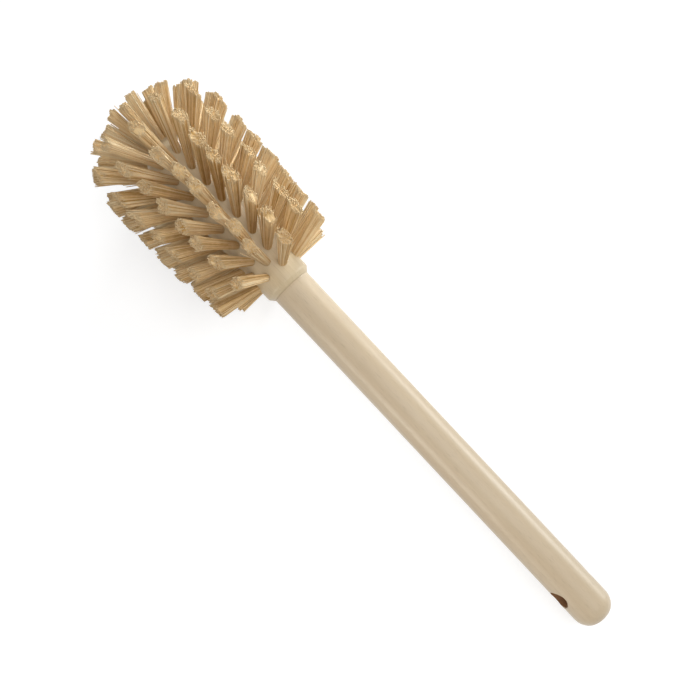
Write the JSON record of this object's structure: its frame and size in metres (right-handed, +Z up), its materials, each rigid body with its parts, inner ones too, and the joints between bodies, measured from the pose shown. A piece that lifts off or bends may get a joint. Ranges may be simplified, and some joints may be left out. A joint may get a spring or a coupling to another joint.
{
  "type": "bottle brush",
  "caption": "Bottle brush with a straight round wooden handle, a hanging hole through its end, and a drilled wooden head set all round and on its nose with tufts of plant fibre.",
  "frame": {"origin": "on the surface that the brush lies on, under the middle of its bounding box", "axes": "+Z up; +X towards the end of the handle, the brush's axis in the XZ plane and tipped 6.4 degrees down towards +X, as the brush rests on its tufts and on its handle's end"},
  "size_m": [0.3784, 0.088, 0.0923],
  "materials": {
    "handle_wood": "smooth, oiled, satin",
    "block_wood": "smooth, turned and drilled, satin",
    "fibre": "stiff plant fibre, matt"
  },
  "bodies": {
    "root": {"handle": "handle_wood", "head_block": "block_wood", "tuft_ring_01": "fibre", "tuft_ring_02": "fibre", "tuft_ring_03": "fibre", "tuft_ring_04": "fibre", "tuft_ring_05": "fibre", "tuft_ring_06": "fibre", "tuft_ring_07": "fibre", "tuft_ring_08": "fibre", "tuft_ring_09": "fibre", "tuft_ring_10": "fibre", "tuft_ring_11": "fibre", "tuft_ring_12": "fibre", "tuft_ring_13": "fibre", "tuft_ring_14": "fibre", "tuft_ring_15": "fibre", "tuft_nose": "fibre"}
  },
  "joints": []
}
